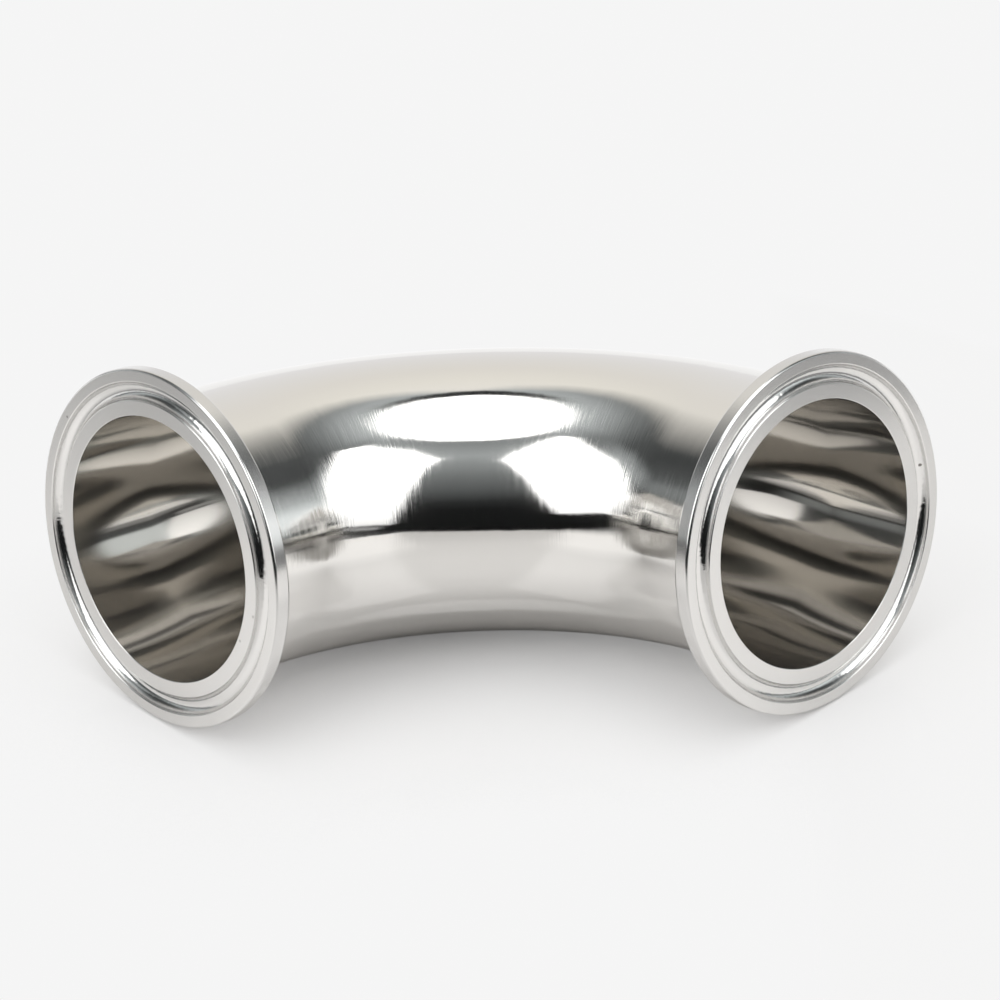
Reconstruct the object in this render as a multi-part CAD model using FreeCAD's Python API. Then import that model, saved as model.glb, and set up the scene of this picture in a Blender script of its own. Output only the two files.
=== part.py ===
import FreeCAD, Part
import math
import os

# Ninety degree elbow with a flanged clamp end on each port.
# It lies as it would come to rest on a table: on the underside of its bend and on the back edge of
# both rims, so the ports look slightly upwards. X runs across the two ports, +Y points to the back of
# the bend, +Z is up, and the origin is the middle of its footprint on the table. Millimetres.

# Tube
tube_diameter = 50.8
wall_thickness = 1.65
bend_radius = 63.5
bend_angle = 90.0

# Straight end of each port, from the end of the bend to the sealing face
end_length = 17.0

# Sealing face of each port, from the bore outwards
inner_land_width = 2.75
groove_width = 3.2
groove_depth = 1.5
outer_land_width = 2.3

# Rim behind the sealing face, and the taper that a clamp ring pulls on
rim_width = 2.85
taper_angle = 20.0

# Rounded edges
bore_edge_radius = 0.15
groove_lip_radius = 0.25
rim_edge_radius = 0.5
neck_radius = 2.0

tube_radius = tube_diameter / 2
bore_radius = tube_radius - wall_thickness
groove_inner_radius = bore_radius + inner_land_width
groove_outer_radius = groove_inner_radius + groove_width
rim_radius = groove_outer_radius + outer_land_width

# Both port axes lie in one plane and cross at a corner in front of the bend's back. The elbow is built
# flat, with that corner at zero, and is laid down on the table at the end.
half_bend = math.radians(bend_angle) / 2
corner_to_face = bend_radius * math.tan(half_bend) + end_length
corner_to_bend_centre = bend_radius / math.cos(half_bend)
corner_to_middle_of_bend = corner_to_bend_centre - bend_radius

CORNER = FreeCAD.Vector(0, 0, 0)
ACROSS = FreeCAD.Vector(1, 0, 0)
BACK = FreeCAD.Vector(0, 1, 0)
UP = FreeCAD.Vector(0, 0, 1)
LEFT_PORT = -ACROSS * math.cos(half_bend) - BACK * math.sin(half_bend)
RIGHT_PORT = ACROSS * math.cos(half_bend) - BACK * math.sin(half_bend)


def section_point(behind_face, radius):
    """A point of the end's section, drawn with the port's axis along X and the sealing face at zero."""
    return FreeCAD.Vector(-behind_face, radius, 0)


def rounded_corner(before, corner, after, radius):
    """Start, middle and end of the arc that rounds one corner of the section."""
    to_before = (before - corner).normalize()
    to_after = (after - corner).normalize()
    half_angle = to_before.getAngle(to_after) / 2
    setback = radius / math.tan(half_angle)
    corner_to_arc = radius / math.sin(half_angle) - radius
    start = corner + to_before * setback
    middle = corner + (to_before + to_after).normalize() * corner_to_arc
    end = corner + to_after * setback
    return start, middle, end


def groove_arcs():
    """The gasket groove: a rounded lip, the round bottom and the other rounded lip."""
    half_width = groove_width / 2
    groove_middle = groove_inner_radius + half_width
    bottom_radius = (half_width ** 2 + groove_depth ** 2) / (2 * groove_depth)
    bottom_centre = section_point(groove_depth - bottom_radius, groove_middle)
    behind_bottom_centre = groove_lip_radius - (groove_depth - bottom_radius)
    between_centres = bottom_radius + groove_lip_radius
    lip_offset = math.sqrt(between_centres ** 2 - behind_bottom_centre ** 2)
    lips = []
    for side in (-1, 1):
        lip_centre = section_point(groove_lip_radius, groove_middle + side * lip_offset)
        on_face = section_point(0, groove_middle + side * lip_offset)
        to_groove = (bottom_centre - lip_centre).normalize()
        to_face = (on_face - lip_centre).normalize()
        middle = lip_centre + (to_groove + to_face).normalize() * groove_lip_radius
        in_groove = lip_centre + to_groove * groove_lip_radius
        lips.append((on_face, middle, in_groove))
    inner_lip, outer_lip = lips
    bottom = (inner_lip[2], section_point(groove_depth, groove_middle), outer_lip[2])
    return [inner_lip, bottom, outer_lip[::-1]]


def end_section():
    """The closed outline that turns about the port's axis into the rim and the straight tube behind it."""
    taper_length = (rim_radius - tube_radius) * math.tan(math.radians(taper_angle))
    bore_end = section_point(end_length, bore_radius)
    bore_mouth = section_point(0, bore_radius)
    rim_front = section_point(0, rim_radius)
    rim_back = section_point(rim_width, rim_radius)
    neck = section_point(rim_width + taper_length, tube_radius)
    tube_end = section_point(end_length, tube_radius)
    rounded_stretches = [
        [rounded_corner(bore_end, bore_mouth, rim_front, bore_edge_radius)],
        groove_arcs(),
        [rounded_corner(bore_mouth, rim_front, rim_back, rim_edge_radius)],
        [rounded_corner(rim_front, rim_back, neck, rim_edge_radius)],
        [rounded_corner(rim_back, neck, tube_end, neck_radius)],
    ]
    edges = []
    last = bore_end
    for arcs in rounded_stretches:
        edges.append(Part.LineSegment(last, arcs[0][0]).toShape())
        edges += [Part.Arc(start, middle, end).toShape() for start, middle, end in arcs]
        last = arcs[-1][2]
    edges.append(Part.LineSegment(last, tube_end).toShape())
    edges.append(Part.LineSegment(tube_end, bore_end).toShape())
    return Part.Face(Part.Wire(edges))


def flanged_end(port):
    """The rim and straight tube of the port that faces along the given direction."""
    end = end_section().revolve(CORNER, ACROSS, 360)
    end.Placement = FreeCAD.Placement(port * corner_to_face, FreeCAD.Rotation(ACROSS, port))
    return end


def bend():
    """The bent tube between the two straight ends."""
    start = LEFT_PORT * (corner_to_face - end_length)
    outside = Part.Wire(Part.makeCircle(tube_radius, start, LEFT_PORT))
    inside = Part.Wire(Part.makeCircle(bore_radius, start, LEFT_PORT))
    bend_centre = -BACK * corner_to_bend_centre
    return Part.Face([outside, inside]).revolve(bend_centre, -UP, bend_angle)


def resting_tilt():
    """The angle, in radians, by which the ports look up when the elbow lies on rims and bend at once."""
    back_edge_setback = rim_edge_radius * math.tan((math.pi / 2 - math.radians(taper_angle)) / 2)
    face_to_back_edge = rim_width - back_edge_setback
    edge_circle = rim_radius - rim_edge_radius
    lean = math.sin(half_bend)
    arm = (corner_to_face - face_to_back_edge) * lean - corner_to_middle_of_bend
    drop = tube_radius - rim_edge_radius
    # The tilt's sine solves: edge_circle * sqrt(1 - (lean * sine)^2) = arm * sine + drop
    squared = arm ** 2 + (edge_circle * lean) ** 2
    root = math.sqrt((arm * drop) ** 2 + squared * (edge_circle ** 2 - drop ** 2))
    return math.asin((root - arm * drop) / squared)


def laid_down(elbow):
    """The elbow tilted to its resting pose, its underside at zero and its footprint centred."""
    tilt = resting_tilt()
    under_reach = tube_radius - corner_to_middle_of_bend * math.sin(tilt)
    back_reach = tube_radius - corner_to_middle_of_bend * math.cos(tilt)
    port_towards_front = math.sin(half_bend) * math.cos(tilt)
    front_reach = port_towards_front * (corner_to_face - rim_edge_radius) + rim_edge_radius
    front_reach += math.sqrt(1 - port_towards_front ** 2) * (rim_radius - rim_edge_radius)
    laid = elbow.copy()
    laid.rotate(CORNER, ACROSS, -math.degrees(tilt))
    laid.translate(UP * under_reach + BACK * (front_reach - back_reach) / 2)
    return laid


flat_elbow = flanged_end(LEFT_PORT).fuse([bend(), flanged_end(RIGHT_PORT)]).removeSplitter()
elbow = laid_down(flat_elbow.Solids[0])

os.makedirs("parts", exist_ok=True)
elbow.exportStep("parts/elbow.step")
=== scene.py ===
import bpy
import math
from mathutils import Matrix, Vector


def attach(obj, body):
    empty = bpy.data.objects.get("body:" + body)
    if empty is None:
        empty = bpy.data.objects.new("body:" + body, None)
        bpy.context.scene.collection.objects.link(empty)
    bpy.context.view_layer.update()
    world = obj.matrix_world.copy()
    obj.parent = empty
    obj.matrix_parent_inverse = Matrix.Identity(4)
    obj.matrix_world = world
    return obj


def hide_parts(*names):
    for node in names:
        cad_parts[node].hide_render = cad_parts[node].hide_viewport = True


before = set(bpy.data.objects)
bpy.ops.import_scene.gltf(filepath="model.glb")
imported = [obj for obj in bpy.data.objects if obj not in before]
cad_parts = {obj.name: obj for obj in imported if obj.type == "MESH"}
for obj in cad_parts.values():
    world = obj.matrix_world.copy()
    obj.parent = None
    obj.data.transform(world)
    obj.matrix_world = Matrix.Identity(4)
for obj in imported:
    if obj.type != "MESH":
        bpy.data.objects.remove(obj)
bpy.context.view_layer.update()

# Metres in a millimetre
MM = 0.001

# Sizes of the elbow in millimetres, the same as those of its solid
tube_radius = 25.4
wall_thickness = 1.65
bend_radius = 63.5
bend_angle = 90.0
end_length = 17.0
inner_land_width = 2.75
groove_width = 3.2
groove_depth = 1.5
outer_land_width = 2.3
rim_width = 2.85
taper_angle = 20.0
bore_edge_radius = 0.15
groove_lip_radius = 0.25
rim_edge_radius = 0.5
neck_radius = 2.0

bore_radius = tube_radius - wall_thickness
groove_inner_radius = bore_radius + inner_land_width
groove_middle_radius = groove_inner_radius + groove_width / 2
rim_radius = groove_inner_radius + groove_width + outer_land_width
half_bend = math.radians(bend_angle) / 2
corner_to_face = bend_radius * math.tan(half_bend) + end_length
corner_to_bend_centre = bend_radius / math.cos(half_bend)
corner_to_middle_of_bend = corner_to_bend_centre - bend_radius
middle_to_bend_end = bend_radius * half_bend
middle_to_face = middle_to_bend_end + end_length

# How finely the skin is divided
facets_around = 144
facets_along_bend = 72
arc_step = math.radians(9)
join_gap = 1e-5

# How far from the bore and from the sealing face their finishes reach, in millimetres
bore_margin = 0.01
turned_depth = 2.0


# The section of the elbow

def rounded(before, corner, after, radius):
    """Points and normals along the arc that rounds one corner, with the steel on the left of the way."""
    into = (corner - before).normalized()
    out = (after - corner).normalized()
    turn = math.atan2(into.cross(out), into.dot(out))
    side = math.copysign(radius, turn)
    start = corner - into * radius * math.tan(abs(turn) / 2)
    centre = start + Vector((-into.y, into.x)) * side
    steps = max(2, round(abs(turn) / arc_step))
    stretch = []
    for step in range(steps + 1):
        heading = into.copy()
        heading.rotate(Matrix.Rotation(turn * step / steps, 2))
        normal = Vector((heading.y, -heading.x))
        stretch.append((centre + normal * side, normal))
    return stretch


def end_corners():
    """Corners of the right end from bore to tube, as a place along, a radius and a rounding."""
    bottom_radius = ((groove_width / 2) ** 2 + groove_depth ** 2) / (2 * groove_depth)
    in_front = bottom_radius - groove_depth
    wall_slope = (groove_lip_radius + in_front) / (bottom_radius + groove_lip_radius)
    wall_spread = math.sqrt(1 - wall_slope ** 2)
    lip_reach = (bottom_radius - in_front * wall_slope) / wall_spread
    bottom_reach = bottom_radius * (1 - wall_slope) / wall_spread
    taper_length = (rim_radius - tube_radius) * math.tan(math.radians(taper_angle))
    corners = [
        (0, bore_radius, bore_edge_radius),
        (0, groove_middle_radius - lip_reach, groove_lip_radius),
        (groove_depth, groove_middle_radius - bottom_reach, bottom_radius),
        (groove_depth, groove_middle_radius + bottom_reach, bottom_radius),
        (0, groove_middle_radius + lip_reach, groove_lip_radius),
        (0, rim_radius, rim_edge_radius),
        (rim_width, rim_radius, rim_edge_radius),
        (rim_width + taper_length, tube_radius, neck_radius),
    ]
    return [(Vector((middle_to_face - behind, radius)), rounding) for behind, radius, rounding in corners]


def section_outline():
    """Points and outward normals of the whole wall's section, laid out straight, from port to port."""
    corners = end_corners()
    bore_end = Vector((middle_to_bend_end, bore_radius))
    tube_end = Vector((middle_to_bend_end, tube_radius))
    ways = [bore_end, *(corner for corner, _ in corners), tube_end]
    right_end = []
    for number, (corner, rounding) in enumerate(corners, 1):
        right_end += rounded(ways[number - 1], corner, ways[number + 1], rounding)
    left_end = [(Vector((-p.x, p.y)), Vector((-n.x, n.y))) for p, n in reversed(right_end)]
    outside, inside = [], []
    for step in range(facets_along_bend + 1):
        along = middle_to_bend_end * (1 - 2 * step / facets_along_bend)
        outside.append((Vector((along, tube_radius)), Vector((0, 1))))
        inside.append((Vector((-along, bore_radius)), Vector((0, -1))))
    outline = right_end + outside + left_end + inside
    before = outline[-1:] + outline
    return [here for here, last in zip(outline, before) if (here[0] - last[0]).length > join_gap]


def section_wire():
    """The section as a closed wire, with each point's place and normal kept for the tree that sweeps it."""
    outline = section_outline()
    mesh = bpy.data.meshes.new("section")
    points = [(p.x, p.y, 0) for p, _ in outline]
    mesh.from_pydata(points, [(i, (i + 1) % len(points)) for i in range(len(points))], [])
    place = mesh.attributes.new("section", "FLOAT_VECTOR", "POINT")
    normal = mesh.attributes.new("section_normal", "FLOAT_VECTOR", "POINT")
    for i, (p, n) in enumerate(outline):
        place.data[i].vector = (p.x, p.y, 0)
        normal.data[i].vector = (n.x, n.y, 0)
    wire = bpy.data.objects.new("elbow_skin", mesh)
    bpy.context.collection.objects.link(wire)
    return wire


# Trees of nodes

class Wiring:
    """Short ways to add nodes to a tree and join them."""

    def __init__(self, tree):
        self.tree = tree

    def node(self, kind, inputs=None, **settings):
        made = self.tree.nodes.new(kind)
        for name, value in settings.items():
            setattr(made, name, value)
        for socket, value in (inputs or {}).items():
            self.feed(made.inputs[socket], value)
        return made

    def feed(self, socket, value):
        if isinstance(value, bpy.types.NodeSocket):
            self.tree.links.new(value, socket)
        else:
            socket.default_value = value

    def math(self, operation, *values):
        made = self.node("ShaderNodeMath", operation=operation)
        for socket, value in zip(made.inputs, values):
            self.feed(socket, value)
        return made.outputs[0]

    def vector_math(self, operation, *values, output=0):
        made = self.node("ShaderNodeVectorMath", operation=operation)
        for socket, value in zip(made.inputs, values):
            self.feed(socket, value)
        return made.outputs[output]

    def combined(self, x, y, z):
        return self.node("ShaderNodeCombineXYZ", {0: x, 1: y, 2: z}).outputs[0]

    def separated(self, vector):
        return self.node("ShaderNodeSeparateXYZ", {0: vector}).outputs

    def turned(self, vector, axis, angle):
        made = self.node("ShaderNodeVectorRotate", {"Vector": vector, "Angle": angle}, rotation_type=axis)
        return made.outputs[0]

    def spread(self, value, start, end, low=0.0, high=1.0):
        """A number that runs from low to high while the value runs from start to end."""
        made = self.node("ShaderNodeMapRange", {"Value": value, "From Min": start, "From Max": end,
                         "To Min": low, "To Max": high}, clamp=True)
        return made.outputs[0]

    def blended(self, share, first, second):
        """A mix of two colours, with the given share of the second."""
        return self.node("ShaderNodeMix", {0: share, 6: first, 7: second}, data_type="RGBA").outputs[2]

    def glow(self, strength):
        return self.node("ShaderNodeEmission", {"Color": (1, 1, 1, 1), "Strength": strength}).outputs[0]

    def mixed(self, share, first, second):
        """A mix of two shaders, with the given share of the second."""
        return self.node("ShaderNodeMixShader", {0: share, 1: first, 2: second}).outputs[0]


def stored(w, geometry, name, value):
    """The geometry with a vector kept at each of its points."""
    return w.node("GeometryNodeStoreNamedAttribute", {"Geometry": geometry, "Name": name, "Value": value},
                  data_type="FLOAT_VECTOR", domain="POINT").outputs[0]


def recalled(w, name):
    """The three parts of a vector that is kept at each point."""
    named = w.node("GeometryNodeInputNamedAttribute", {"Name": name}, data_type="FLOAT_VECTOR")
    return w.separated(named.outputs[0])


def swept_section(w, given):
    """The section swept round a circle of radius 1, whose points are the spokes."""
    circle = w.node("GeometryNodeCurvePrimitiveCircle", {"Resolution": given["Facets around"], "Radius": 1.0})
    position = w.node("GeometryNodeInputPosition").outputs[0]
    spokes = stored(w, circle.outputs[0], "spoke", position)
    section = w.node("GeometryNodeMeshToCurve", {"Mesh": given["Section"]}).outputs[0]
    return w.node("GeometryNodeCurveToMesh", {"Curve": spokes, "Profile Curve": section}).outputs[0]


def bent_and_laid(w, given):
    """Each point's place on the resting elbow in metres, and the vectors that it keeps for the finishes."""
    along, radius, _ = recalled(w, "section")
    normal_along, normal_out, _ = recalled(w, "section_normal")
    spoke_out, spoke_up, _ = recalled(w, "spoke")

    # The part of the way along that lies on the bend, and the straight rest
    half_angle = w.math("MULTIPLY", given["Bend angle"], 0.5)
    bend_end = w.math("MULTIPLY", given["Bend radius"], half_angle)
    not_past = w.math("MINIMUM", along, bend_end)
    on_bend = w.math("MAXIMUM", not_past, w.math("MULTIPLY", bend_end, -1.0))
    straight = w.math("SUBTRACT", along, on_bend)
    angle = w.math("DIVIDE", on_bend, w.math("MULTIPLY", given["Bend radius"], -1.0))
    tilt_back = w.math("MULTIPLY", given["Tilt"], -1.0)

    def laid(vector):
        return w.turned(w.turned(vector, "Z_AXIS", angle), "X_AXIS", tilt_back)

    outwards = w.math("MULTIPLY_ADD", radius, spoke_out, given["Bend radius"])
    from_bend_centre = w.combined(straight, outwards, w.math("MULTIPLY", radius, spoke_up))
    centre_back = w.math("DIVIDE", given["Bend radius"], w.math("COSINE", half_angle))
    bend_centre = w.turned(w.combined(0.0, w.math("MULTIPLY", centre_back, -1.0), 0.0), "X_AXIS", tilt_back)
    shift = w.vector_math("ADD", bend_centre, w.combined(0.0, given["Shift back"], given["Shift up"]))
    in_place = w.vector_math("ADD", laid(from_bend_centre), shift)
    in_metres = w.vector_math("MULTIPLY", in_place, (MM, MM, MM))
    normal = w.combined(normal_along, w.math("MULTIPLY", normal_out, spoke_out),
                        w.math("MULTIPLY", normal_out, spoke_up))
    vectors = {
        "tube_axis": laid((1.0, 0.0, 0.0)),
        "away_from_axis": laid(w.combined(0.0, spoke_out, spoke_up)),
        "true_normal": laid(normal),
    }
    return in_metres, vectors


def finished(w, given, skin):
    """The skin with its three finishes, which go by where each face lies in the section."""
    along, radius, _ = recalled(w, "section")
    in_bore = w.math("LESS_THAN", radius, w.math("ADD", given["Bore radius"], bore_margin))
    behind_face = w.math("SUBTRACT", given["Middle to face"], w.math("ABSOLUTE", along))
    near_face = w.math("LESS_THAN", behind_face, turned_depth)
    on_rim = w.math("GREATER_THAN", radius, w.math("SUBTRACT", given["Rim radius"], given["Rim edge"]))
    on_face = w.math("MAXIMUM", near_face, on_rim)
    for chosen, finish in ((1.0, given["Polished"]), (on_face, given["Face"]), (in_bore, given["Bore"])):
        pick = w.math("GREATER_THAN", chosen, 0.5)
        skin = w.node("GeometryNodeSetMaterial", {"Geometry": skin, "Selection": pick,
                      "Material": finish}).outputs[0]
    return skin


def skin_tree():
    """Sweeps the section round the tube, bends it round the corner and lays it on the table."""
    tree = bpy.data.node_groups.new("elbow_skin", "GeometryNodeTree")
    tree.interface.new_socket("Section", in_out="INPUT", socket_type="NodeSocketGeometry")
    tree.interface.new_socket("Facets around", in_out="INPUT", socket_type="NodeSocketInt")
    for name in ("Bend radius", "Bend angle", "Tilt", "Shift back", "Shift up", "Bore radius",
                 "Middle to face", "Rim radius", "Rim edge"):
        tree.interface.new_socket(name, in_out="INPUT", socket_type="NodeSocketFloat")
    for name in ("Polished", "Bore", "Face"):
        tree.interface.new_socket(name, in_out="INPUT", socket_type="NodeSocketMaterial")
    tree.interface.new_socket("Skin", in_out="OUTPUT", socket_type="NodeSocketGeometry")
    w = Wiring(tree)
    given = w.node("NodeGroupInput").outputs
    skin = swept_section(w, given)
    in_metres, vectors = bent_and_laid(w, given)
    skin = w.node("GeometryNodeSetPosition", {"Geometry": skin, "Position": in_metres}).outputs[0]
    for name, value in vectors.items():
        skin = stored(w, skin, name, value)
    skin = w.node("GeometryNodeSetShadeSmooth", {"Geometry": skin, "Shade Smooth": True}).outputs[0]
    skin = w.node("GeometryNodeRealizeInstances", {"Geometry": skin}).outputs[0]
    w.node("NodeGroupOutput", {0: finished(w, given, skin)})
    return tree


def resting_tilt():
    """The angle by which the ports look up when the elbow lies on both rims and its bend."""
    back_edge_setback = rim_edge_radius * math.tan((math.pi / 2 - math.radians(taper_angle)) / 2)
    edge_circle = rim_radius - rim_edge_radius
    lean = math.sin(half_bend)
    arm = (corner_to_face - rim_width + back_edge_setback) * lean - corner_to_middle_of_bend
    drop = tube_radius - rim_edge_radius
    squared = arm ** 2 + (edge_circle * lean) ** 2
    root = math.sqrt((arm * drop) ** 2 + squared * (edge_circle ** 2 - drop ** 2))
    return math.asin((root - arm * drop) / squared)


def resting_shift(tilt):
    """How far back and up the tilted elbow moves to lie centred on the table."""
    under_reach = tube_radius - corner_to_middle_of_bend * math.sin(tilt)
    back_reach = tube_radius - corner_to_middle_of_bend * math.cos(tilt)
    port_towards_front = math.sin(half_bend) * math.cos(tilt)
    front_reach = port_towards_front * (corner_to_face - rim_edge_radius) + rim_edge_radius
    front_reach += math.sqrt(1 - port_towards_front ** 2) * (rim_radius - rim_edge_radius)
    return (front_reach - back_reach) / 2, under_reach


def elbow_skin(polished, smooth, turned):
    """The elbow's whole skin as one plain mesh, in its three finishes."""
    wire = section_wire()
    tree = skin_tree()
    tilt = resting_tilt()
    shift_back, shift_up = resting_shift(tilt)
    values = {
        "Facets around": facets_around,
        "Bend radius": bend_radius,
        "Bend angle": math.radians(bend_angle),
        "Tilt": tilt,
        "Shift back": shift_back,
        "Shift up": shift_up,
        "Bore radius": bore_radius,
        "Middle to face": middle_to_face,
        "Rim radius": rim_radius,
        "Rim edge": rim_edge_radius,
        "Polished": polished,
        "Bore": smooth,
        "Face": turned,
    }
    sweep = wire.modifiers.new("skin", "NODES")
    sweep.node_group = tree
    for item in tree.interface.items_tree:
        if item.in_out == "INPUT" and item.name in values:
            sweep[item.identifier] = values[item.name]
    shown = wire.evaluated_get(bpy.context.evaluated_depsgraph_get())
    mesh = bpy.data.meshes.new_from_object(shown)
    mesh.name = "elbow_skin"
    wire.modifiers.clear()
    wire.data = mesh
    normals = [tuple(v.vector) for v in mesh.attributes["true_normal"].data]
    mesh.normals_split_custom_set_from_vertices(normals)
    return wire


# Finishes, with lengths in millimetres. A ramp of four numbers says where it starts and ends and its value at
# each, and one of two runs from 0 to 1.

polished_colour = (0.78, 0.77, 0.75, 1)
polished_anisotropy = 0.85
taper_colour = (0.64, 0.63, 0.61, 1)
taper_margin = 0.3
hairline_around = 7.0
hairline_width = 0.32
hairline_depth = 0.01
hairline_roughness = (0.0, 1.0, 0.025, 0.145)
hairlines_grow = (8.0, 26.0, 0.4, 1.0)
hairlines_fade = (44.0, 54.0, 1.0, 0.3)
wave_around = 14.0
wave_width = 7.0
wave_depth = 0.04

# The bore's colours hold painted shade: darker than the outside steel, and darker in the right port than the
# left
bore_left_painted_shade_colour = (0.61, 0.59, 0.555, 1)
bore_right_painted_shade_colour = (0.455, 0.437, 0.408, 1)
bore_roughness = 0.085
bore_anisotropy = 0.65
bore_metallic = 0.93

face_colour = (0.71, 0.705, 0.695, 1)
face_anisotropy = 0.7
face_roughness = 0.2
groove_roughness = 0.12
rings_per_millimetre = 9.0
ring_share = 0.04
crackle_per_millimetre = 0.9
crackle_share = 0.7
face_relief_depth = 0.04

# Tiny pits in the faces: which end, the distance from the axis, the angle from the inside of the bend, the
# pit's own radius and how marked it is
pits = [(-1, 30.42, 139.9, 0.24, 0.7), (-1, 26.17, 345.7, 0.24, 0.45), (-1, 24.45, 331.4, 0.24, 0.45),
        (1, 29.04, 168.9, 0.27, 1.0)]
pit_colour = (0.2, 0.19, 0.18, 1)


def blank(name):
    """A material without nodes, and the wiring to give it some."""
    material = bpy.data.materials.new(name)
    material.use_nodes = True
    material.node_tree.nodes.clear()
    return material, Wiring(material.node_tree)


def steel(name, anisotropic, metallic=1.0):
    """A metal's material, its wiring and its shader's inputs."""
    material, w = blank(name)
    shader = w.node("ShaderNodeBsdfPrincipled", {"Metallic": metallic, "Anisotropic": anisotropic})
    w.node("ShaderNodeOutputMaterial", {"Surface": shader.outputs[0]})
    return material, w, shader.inputs


def kept(w, name):
    """A vector that the skin keeps at each of its points."""
    return w.node("ShaderNodeAttribute", attribute_name=name, attribute_type="GEOMETRY").outputs["Vector"]


def strokes(w, around, width):
    """A noise whose marks run for so many millimetres round the tube and are so wide along it."""
    along = w.separated(kept(w, "section"))[0]
    spoke = w.separated(kept(w, "spoke"))
    reach = tube_radius / around
    vector = w.combined(w.math("MULTIPLY", spoke[0], reach), w.math("MULTIPLY", spoke[1], reach),
                        w.math("DIVIDE", along, width))
    return w.node("ShaderNodeTexNoise", {"Vector": vector, "Scale": 1.0}).outputs[0]


def relief(w, height, depth, under=None):
    """A bump of the given depth, over another where one is given."""
    inputs = {"Height": height, "Distance": depth * MM, "Strength": 1.0}
    if under is not None:
        inputs["Normal"] = under
    return w.node("ShaderNodeBump", inputs).outputs[0]


def polished_outside():
    """Polished with belts that ran round the tube, which left hairlines, and a duller taper at each end."""
    material, w, shader = steel("polished_steel", polished_anisotropy)
    along, radius, _ = w.separated(kept(w, "section"))
    on_taper = w.math("GREATER_THAN", radius, tube_radius + taper_margin)
    w.feed(shader["Base Color"], w.blended(on_taper, polished_colour, taper_colour))
    w.feed(shader["Tangent"], kept(w, "tube_axis"))
    hairlines = strokes(w, hairline_around, hairline_width)
    w.feed(shader["Roughness"], w.spread(hairlines, *hairline_roughness))
    from_middle = w.math("ABSOLUTE", along)
    grown = w.spread(from_middle, *hairlines_grow)
    faded = w.spread(from_middle, *hairlines_fade)
    height = w.math("MULTIPLY", hairlines, w.math("MINIMUM", grown, faded))
    scratches = relief(w, height, hairline_depth)
    w.feed(shader["Normal"], relief(w, strokes(w, wave_around, wave_width), wave_depth, under=scratches))
    return material


def smooth_bore():
    """Smooth inside, so that it mirrors itself over and over, with a faint haze, and painted shade that is
    darker to the right.
    """
    material, w, shader = steel("bore_steel", bore_anisotropy, bore_metallic)
    w.feed(shader["Roughness"], bore_roughness)
    w.feed(shader["Tangent"], kept(w, "tube_axis"))
    # Painted shade: the bore's colour darkens from the left port to the right
    painted_shade_to_right = w.spread(w.separated(kept(w, "section"))[0], -middle_to_face, middle_to_face)
    w.feed(shader["Base Color"], w.blended(painted_shade_to_right, bore_left_painted_shade_colour, bore_right_painted_shade_colour))
    return material


def pitted(w, on_face):
    """How marked a pit is where the place on the faces lies within one, and zero elsewhere."""
    marked = 0.0
    for end, from_axis, turn, radius, mark in pits:
        angle = math.radians(turn)
        middle = (-math.cos(angle) * from_axis, math.sin(angle) * from_axis, end)
        within = w.math("LESS_THAN", w.vector_math("DISTANCE", on_face, middle, output=1), radius)
        marked = w.math("MAXIMUM", marked, w.math("MULTIPLY", within, mark))
    return marked


def turned_face():
    """Turned on a lathe: satin lands and rim with fine rings, a glossier groove and a few tiny pits."""
    material, w, shader = steel("turned_face_steel", face_anisotropy)
    along_ring = w.vector_math("CROSS_PRODUCT", kept(w, "tube_axis"), kept(w, "away_from_axis"))
    w.feed(shader["Tangent"], w.vector_math("CROSS_PRODUCT", along_ring, kept(w, "true_normal")))
    along, radius, _ = w.separated(kept(w, "section"))
    from_groove = w.math("ABSOLUTE", w.math("SUBTRACT", radius, groove_middle_radius))
    in_groove = w.math("LESS_THAN", from_groove, groove_width / 2 - groove_lip_radius)
    w.feed(shader["Roughness"], w.spread(in_groove, 0.0, 1.0, face_roughness, groove_roughness))
    spoke = w.separated(kept(w, "spoke"))
    on_face = w.combined(w.math("MULTIPLY", spoke[0], radius), w.math("MULTIPLY", spoke[1], radius),
                         w.math("SIGN", along))
    pit = pitted(w, on_face)
    w.feed(shader["Base Color"], w.blended(pit, face_colour, pit_colour))
    across = w.math("ADD", radius, w.math("ABSOLUTE", along))
    rings = w.node("ShaderNodeTexNoise", {"W": across, "Scale": rings_per_millimetre},
                   noise_dimensions="1D").outputs[0]
    crackle = w.node("ShaderNodeTexNoise", {"Vector": on_face, "Scale": crackle_per_millimetre}).outputs[0]
    uneven = w.math("MULTIPLY", w.math("MULTIPLY", crackle, in_groove), crackle_share)
    height = w.math("SUBTRACT", w.math("MULTIPLY_ADD", rings, ring_share, uneven), pit)
    w.feed(shader["Normal"], relief(w, height, face_relief_depth))
    return material


skin = elbow_skin(polished_outside(), smooth_bore(), turned_face())
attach(skin, "root")
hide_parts("elbow")


# The studio: two leaning softboxes, a round one overhead, a low pale wall, a white table and the room

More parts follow.
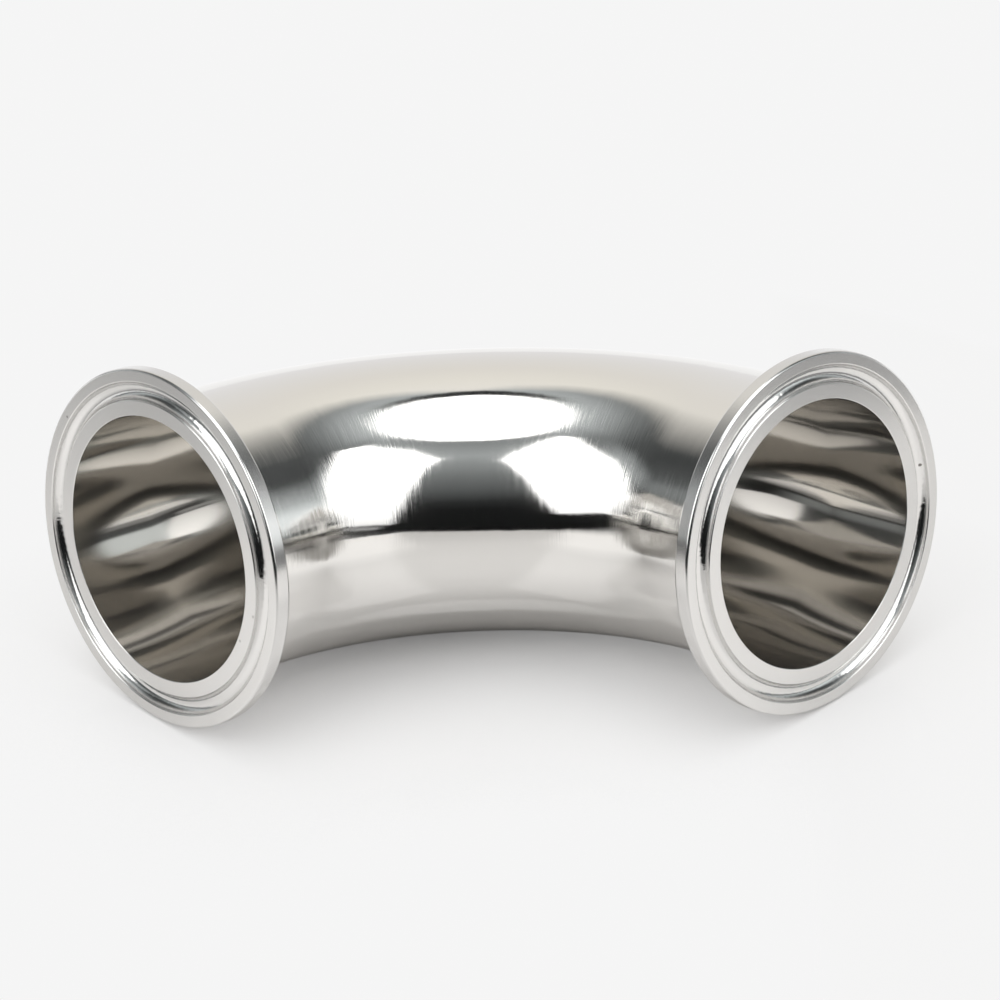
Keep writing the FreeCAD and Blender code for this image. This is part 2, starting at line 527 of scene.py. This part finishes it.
# The panels, in metres. Their edges are given as directions from the middle of the elbow: degrees to the
# right of the front, and degrees up.
straight_up = 90
middle_of_elbow = Vector((0, 0, 0.03))
panel_distance = 0.9
softbox_glow = 2.3
softbox_foot_glow = 1.15
softbox_foot = 0.08
softbox_full = 0.48
low_wall_glow = 0.45
overhead_half_width = 22.6
overhead_half_depth = 21.3
overhead_set_back = 0.9
overhead_facets = 60
left_edge = [(-77, 4.8), (-68, 5.1), (-60, 7.4), (-37, 8), (-32.8, 15), (-28.3, 26), (-24.5, 38),
             (-19.5, 47), (-14, 52.8), (-29, 59.3), (-52, 63.5), (-70, 63.5), (-76.5, 61), (-75.5, 54.5),
             (-78, 46), (-81.5, 40), (-82, 33), (-80.5, 23), (-79.5, 14)]
right_edge = [(43.5, 3.8), (75, 3), (78.5, 10), (81.5, 18), (83.5, 25), (86.5, 34), (89, 41), (94.5, 52),
              (85, 58), (72, 59.5), (53, 60.3), (37, 58), (24.5, 54.8), (30.5, 48), (34.8, 38.5),
              (37.8, 26), (40.3, 15)]
low_edge = [(50, 0.2), (73, 0.2), (73, 2.2), (50, 2.2)]


def towards(azimuth, elevation):
    """The direction at an azimuth from the front, positive to the right, and a height, in degrees."""
    a, e = math.radians(azimuth), math.radians(elevation)
    return Vector((math.sin(a) * math.cos(e), -math.cos(a) * math.cos(e), math.sin(e)))


def overhead_edge():
    """The overhead softbox's edge: nearly a circle, a little behind the point right above the elbow."""
    edge = []
    for step in range(overhead_facets):
        turn = 2 * math.pi * step / overhead_facets
        aside = overhead_half_width * math.sin(turn)
        ahead = overhead_half_depth * math.cos(turn) - overhead_set_back
        edge.append((math.degrees(math.atan2(aside, ahead)), straight_up - math.hypot(aside, ahead)))
    return edge


def glowing(name, foot_glow, glow):
    """Light that grows from the foot of a panel to where it is full."""
    material, w = blank(name)
    up = w.separated(w.node("ShaderNodeTexCoord").outputs["Object"])[2]
    strength = w.spread(up, softbox_foot, softbox_full, foot_glow, glow)
    w.node("ShaderNodeOutputMaterial", {"Surface": w.glow(strength)})
    return material


def panel(name, edge, foot_glow, glow):
    """A glowing panel whose edge is seen from the elbow in the given directions, all at one distance."""
    points = [middle_of_elbow + towards(*corner) * panel_distance for corner in edge]
    mesh = bpy.data.meshes.new(name)
    mesh.from_pydata(points, [], [range(len(points))])
    mesh.materials.append(glowing(name, foot_glow, glow))
    made = bpy.data.objects.new(name, mesh)
    bpy.context.collection.objects.link(made)
    made.visible_camera = False


panel("left_softbox", left_edge, softbox_foot_glow, softbox_glow)
panel("right_softbox", right_edge, softbox_foot_glow, softbox_glow)
panel("overhead_softbox", overhead_edge(), softbox_glow, softbox_glow)
panel("low_wall", low_edge, low_wall_glow, low_wall_glow)

# The table, in metres: X to the right and Y to the back from the middle of the elbow's footprint. Past the
# edges given here, mirrors see a dark surround painted on the table, a painted reflection.
table_half_side = 12
table_front = -0.487
front_edge_slope = -0.43
table_left = (-0.15, -0.34)
right_edge_slope = -2.4
right_edge_crossing = 0.56
table_back = 0.6
painted_surround_glow = (-0.3, -0.1, 0.05, 0.32)
darkest_painted_surround = 0.006

# Painted light and shade in how pale the table is along Y, to the camera and to other rays: a painted falloff
# of light towards the front. To those other rays it is palest where painted light spills past the elbow's
# ends, and it has painted shade right under the elbow.
table_albedo = 0.78
table_tint = (1.0, 0.98, 0.965)
painted_falloff_to_camera = (table_front, -0.08, 0.66, 1.02)
painted_falloff_in_front = (table_front, -0.1, 0.71, 0.95)
painted_light_near_elbow = (-0.2, -0.06, 0.86, 1.1)
painted_spill_light = 1.3
painted_spill_slope = 1.06
painted_spill_edge = (-0.075, -0.025)
painted_spill_from_middle = (0.03, 0.06)
painted_shade_under_elbow = (-0.028, -0.008, 1.0, 0.88)
table_gloss = 0.06
table_gloss_roughness = 0.1

# The plain background, and how the elbow's shadow fades into it for the camera: by how open each place is,
# with a painted lift of light that is greatest under the right half. Mirrors see a painted glow, brighter
# than the background, on the table behind the elbow, in place of the shaded table there
background = 0.915
painted_glow_in_mirrors = 0.1
painted_glow_behind_elbow_from = 0.06
shadow_reach = 0.045
shadow_samples = 8
shadow_contrast = 0.9
shadow_most_lift = 0.18
shadow_lift_rises = (-0.01, 0.02, 0.11, shadow_most_lift)
shadow_lift_falls = (0.045, 0.06, shadow_most_lift, 0.04)
shadow_end = (0.07, 0.15)


def table_painted_light(w, x, y, is_camera_ray):
    """The painted light and shade in the table's colour at a place, to the camera and to all other rays."""
    # Painted light: a falloff along Y and spill light past the elbow's ends; painted shade under the elbow
    painted_falloff = w.math("MAXIMUM", w.spread(y, *painted_falloff_in_front), w.spread(y, *painted_light_near_elbow))
    aside = w.math("ABSOLUTE", x)
    past_painted_spill_edge = w.spread(w.math("MULTIPLY_ADD", aside, painted_spill_slope, y), *painted_spill_edge)
    in_painted_spill = w.math("MULTIPLY", past_painted_spill_edge, w.spread(aside, *painted_spill_from_middle))
    lit = w.spread(in_painted_spill, 0.0, 1.0, painted_falloff, painted_spill_light)
    mirrored = w.math("MULTIPLY", lit, w.spread(y, *painted_shade_under_elbow))
    return w.spread(is_camera_ray, 0.0, 1.0, mirrored, w.spread(y, *painted_falloff_to_camera))


def white_table(w, x, y, is_camera_ray):
    """The table's matt white with its painted light and shade, and a faint gloss."""
    albedo = w.math("MULTIPLY", table_painted_light(w, x, y, is_camera_ray), table_albedo)
    tinted = w.vector_math("MULTIPLY", w.combined(albedo, albedo, albedo), table_tint)
    matt = w.node("ShaderNodeBsdfDiffuse", {"Color": tinted}).outputs[0]
    gloss = w.node("ShaderNodeBsdfGlossy", {"Color": (1, 1, 1, 1), "Roughness": table_gloss_roughness})
    return w.mixed(table_gloss, matt, gloss.outputs[0])


def painted_dark_surround(w, x, y, is_glossy_ray):
    """Where mirrors see past the table's edges, and the painted reflection there: dark, with a painted glow
    that grows beside the elbow.
    """
    # A painted reflection, seen only by glossy rays: dark past the table's edges, with a painted glow beside
    # the elbow
    in_front = w.math("LESS_THAN", y, w.math("MULTIPLY_ADD", x, front_edge_slope, table_front))
    on_left = w.spread(x, *table_left)
    on_right = w.math("GREATER_THAN", y, w.math("MULTIPLY_ADD", x, right_edge_slope, right_edge_crossing))
    off_table = w.math("MAXIMUM", in_front, w.math("MAXIMUM", on_left, on_right))
    before_wall = w.math("LESS_THAN", y, table_back)
    share = w.math("MULTIPLY", is_glossy_ray, w.math("MULTIPLY", off_table, before_wall))
    beside = w.math("MULTIPLY", w.math("SUBTRACT", 1.0, in_front), w.spread(y, *painted_surround_glow))
    return share, w.glow(w.math("ADD", beside, darkest_painted_surround))


def seen_plain(w, x, y, ray):
    """Where the plain background shows: to the camera past the shadow, lifted by painted light, and as a
    painted glow to mirrors behind the elbow.
    """
    openness = w.node("ShaderNodeAmbientOcclusion", {"Distance": shadow_reach}, samples=shadow_samples)
    # Painted light that lifts the shadow, most under the right half
    painted_light_lift = w.math("MINIMUM", w.spread(x, *shadow_lift_rises), w.spread(x, *shadow_lift_falls))
    near = w.math("MULTIPLY_ADD", openness.outputs["AO"], shadow_contrast, painted_light_lift)
    far = w.spread(w.vector_math("LENGTH", w.combined(x, y, 0.0), output=1), *shadow_end)
    to_camera = w.math("MULTIPLY", ray["Is Camera Ray"], w.math("MAXIMUM", far, near))
    # Mirrors behind the elbow see a painted glow in place of the shaded table
    behind_elbow = w.math("GREATER_THAN", y, painted_glow_behind_elbow_from)
    return w.math("MAXIMUM", to_camera, w.math("MULTIPLY", ray["Is Glossy Ray"], behind_elbow))


def table():
    """White to the camera past the elbow's shadow, with painted light and shade in its colour, and a painted
    dark reflection past its own edges.
    """
    material, w = blank("table")
    x, y, _ = w.separated(w.node("ShaderNodeTexCoord").outputs["Object"])
    ray = w.node("ShaderNodeLightPath").outputs
    in_painted_surround, painted_surround = painted_dark_surround(w, x, y, ray["Is Glossy Ray"])
    both = w.mixed(in_painted_surround, white_table(w, x, y, ray["Is Camera Ray"]), painted_surround)
    # The plain white glows brighter to mirrors: a painted glow
    plain = w.glow(w.math("MULTIPLY_ADD", ray["Is Glossy Ray"], painted_glow_in_mirrors, background))
    w.node("ShaderNodeOutputMaterial", {"Surface": w.mixed(seen_plain(w, x, y, ray), both, plain)})
    corners = [(-1, -1), (1, -1), (1, 1), (-1, 1)]
    mesh = bpy.data.meshes.new("table")
    mesh.from_pydata([(a * table_half_side, b * table_half_side, 0) for a, b in corners], [], [(0, 1, 2, 3)])
    mesh.materials.append(material)
    made = bpy.data.objects.new("table", mesh)
    bpy.context.collection.objects.link(made)


table()

# The room past the panels. Its greys and colours go by height in degrees, and give way to the next over a
# stretch of degrees to the right or the left of the front. The wall leans out of the way above a height.
front_greys = [(0, 0.01), (14, 0.013), (20, 0.03), (30, 0.12), (40, 0.2), (50, 0.32), (57, 0.43), (62, 0.37),
               (67, 0.3), (90, 0.3)]
upper_greys = [(40, 0.45), (48, 0.25), (54, 0.22), (60, 0.4), (66, 0.55), (90, 0.55)]
left_greys = [(0, 0.35), (3.5, 0.3), (6, 0.08), (16, 0.08), (26, 0.38)] + upper_greys
right_greys = [(0, 0.1), (3, 0.1), (4.5, 0.95), (14, 0.95), (20, 0.55)] + upper_greys
side_greys = [(0, 0.1), (5, 0.3), (9, 0.6), (15, 0.4), (22, 0.1), (32, 0.06), (44, 0.1), (52, 0.25),
              (60, 0.5), (66, 0.6), (90, 0.6)]
wall_colours = [(0, (0.9, 0.89, 0.9)), (16, (0.885, 0.87, 0.855)), (34, (0.89, 0.86, 0.81)),
                (48, (0.95, 0.92, 0.85)), (62, (1.0, 0.97, 0.91))]
over_wall_greys = [(63.5, 0.03), (90, 0.03)]
cool_grey = (0.955, 1.015, 1.025)
left_stretch = (68.0, 76.0)
right_stretch = (73.0, 79.0)
side_stretch = (89.0, 98.0)
wall_stretch = (112.5, 148.0)
over_wall_stretch = (77.5, 118.0)
wall_top = 63.2
wall_leans_from = 40.0
wall_lean = (2.4, 1.4)


def greys(stops):
    """The same stops with each brightness turned into a slightly cool grey."""
    return [(height, tuple(share * brightness for share in cool_grey)) for height, brightness in stops]


def ramp(w, height, stops):
    """The colour at a height in degrees, between the given stops."""
    made = w.node("ShaderNodeValToRGB", {0: w.math("DIVIDE", height, straight_up)})
    elements = made.color_ramp.elements
    while len(elements) < len(stops):
        elements.new(1.0)
    for element, (at, colour) in zip(elements, stops):
        element.position = at / straight_up
        element.color = (*colour, 1)
    return made.outputs[0]


def either(w, chosen, first, second):
    """The first stretch's two ends, or the second's where chosen is one."""
    return [w.math("MULTIPLY_ADD", chosen, b - a, a) for a, b in zip(first, second)]


def room_colour(w):
    """The room's colour in the direction that is looked in."""
    x, y, z = w.separated(w.node("ShaderNodeTexCoord").outputs["Generated"])
    height = w.math("DEGREES", w.math("ARCSINE", z))
    aside = w.math("DEGREES", w.math("ABSOLUTE", w.math("ARCTAN2", x, w.math("MULTIPLY", y, -1.0))))
    on_right = w.math("GREATER_THAN", x, 0.0)
    beside = w.blended(on_right, ramp(w, height, greys(left_greys)), ramp(w, height, greys(right_greys)))
    over_wall = w.math("GREATER_THAN", height, wall_top)
    leaning = w.math("MAXIMUM", w.math("SUBTRACT", height, wall_leans_from), 0.0)
    upright = either(w, over_wall, wall_stretch, over_wall_stretch)
    leant = [w.math("MULTIPLY_ADD", leaning, lean, end) for lean, end in zip(wall_lean, upright)]
    wall = ramp(w, height, wall_colours + greys(over_wall_greys))
    beside_stretch = either(w, on_right, left_stretch, right_stretch)
    colour = w.blended(w.spread(aside, *beside_stretch), ramp(w, height, greys(front_greys)), beside)
    colour = w.blended(w.spread(aside, *side_stretch), colour, ramp(w, height, greys(side_greys)))
    return w.blended(w.spread(aside, *leant), colour, wall)


def room():
    """The room past the panels: dark in front, grey at the sides, cream behind, plain white to the camera."""
    world = bpy.data.worlds.new("room")
    bpy.context.scene.world = world
    world.use_nodes = True
    world.node_tree.nodes.clear()
    w = Wiring(world.node_tree)
    lit = w.node("ShaderNodeBackground", {"Color": room_colour(w)}).outputs[0]
    white = w.node("ShaderNodeBackground", {"Color": (background, background, background, 1)}).outputs[0]
    to_camera = w.node("ShaderNodeLightPath").outputs["Is Camera Ray"]
    w.node("ShaderNodeOutputWorld", {"Surface": w.mixed(to_camera, lit, white)})


room()

# The camera of the photograph: its place in millimetres, and how many degrees it is turned to the left, looks
# down and leans to the right
camera_place = Vector((27.696, -602.486, 377.690)) * MM
camera_turn = 2.42861
camera_looks_down = 29.8944
camera_lean = 2.57384
focal_length = 142.2
sensor_width = 36
clip_start = 0.01
clip_end = 50


def camera():
    """The camera, from where the photograph was taken."""
    data = bpy.data.cameras.new("camera")
    data.lens = focal_length
    data.sensor_width = sensor_width
    data.clip_start = clip_start
    data.clip_end = clip_end
    turned = Matrix.Rotation(math.radians(camera_turn), 4, "Z")
    raised = Matrix.Rotation(math.radians(straight_up - camera_looks_down), 4, "X")
    leant = Matrix.Rotation(math.radians(-camera_lean), 4, "Z")
    made = bpy.data.objects.new("camera", data)
    made.matrix_world = Matrix.Translation(camera_place) @ turned @ raised @ leant
    bpy.context.collection.objects.link(made)
    bpy.context.scene.camera = made


camera()
bpy.context.scene.view_settings.view_transform = "Standard"

# Light leaves the bent bore only after many reflections
bounces_in_bore = 12
bpy.context.scene.cycles.glossy_bounces = bounces_in_bore
